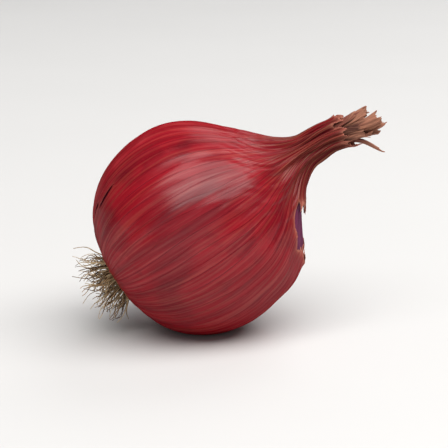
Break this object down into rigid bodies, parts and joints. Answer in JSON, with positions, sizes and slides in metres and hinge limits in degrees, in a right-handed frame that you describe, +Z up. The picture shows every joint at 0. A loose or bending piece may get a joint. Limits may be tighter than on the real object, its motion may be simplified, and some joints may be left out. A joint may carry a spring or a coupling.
{
  "type": "red onion",
  "caption": "Red onion bulb in dry papery skin, lying tilted, with a dried wrinkled neck, a torn window in the skin and a tuft of wiry roots.",
  "frame": {"origin": "centre of the small flat spot on the bulb's underside that it rests on", "axes": "+Z up; +X level, towards the neck's end; +Y away from the viewer of the picture; the onion's own axis lies in the XZ plane and rises 33 degrees towards +X"},
  "size_m": [0.0834, 0.0576, 0.06],
  "materials": {
    "dry_skin": "satin, papery, with fine veins",
    "dried_leaf": "matt, wrinkled",
    "root_fibre": "matt, fibrous"
  },
  "bodies": {
    "root": {"bulb": "dry_skin", "neck_leaves": "dried_leaf", "roots": "root_fibre"}
  },
  "joints": []
}
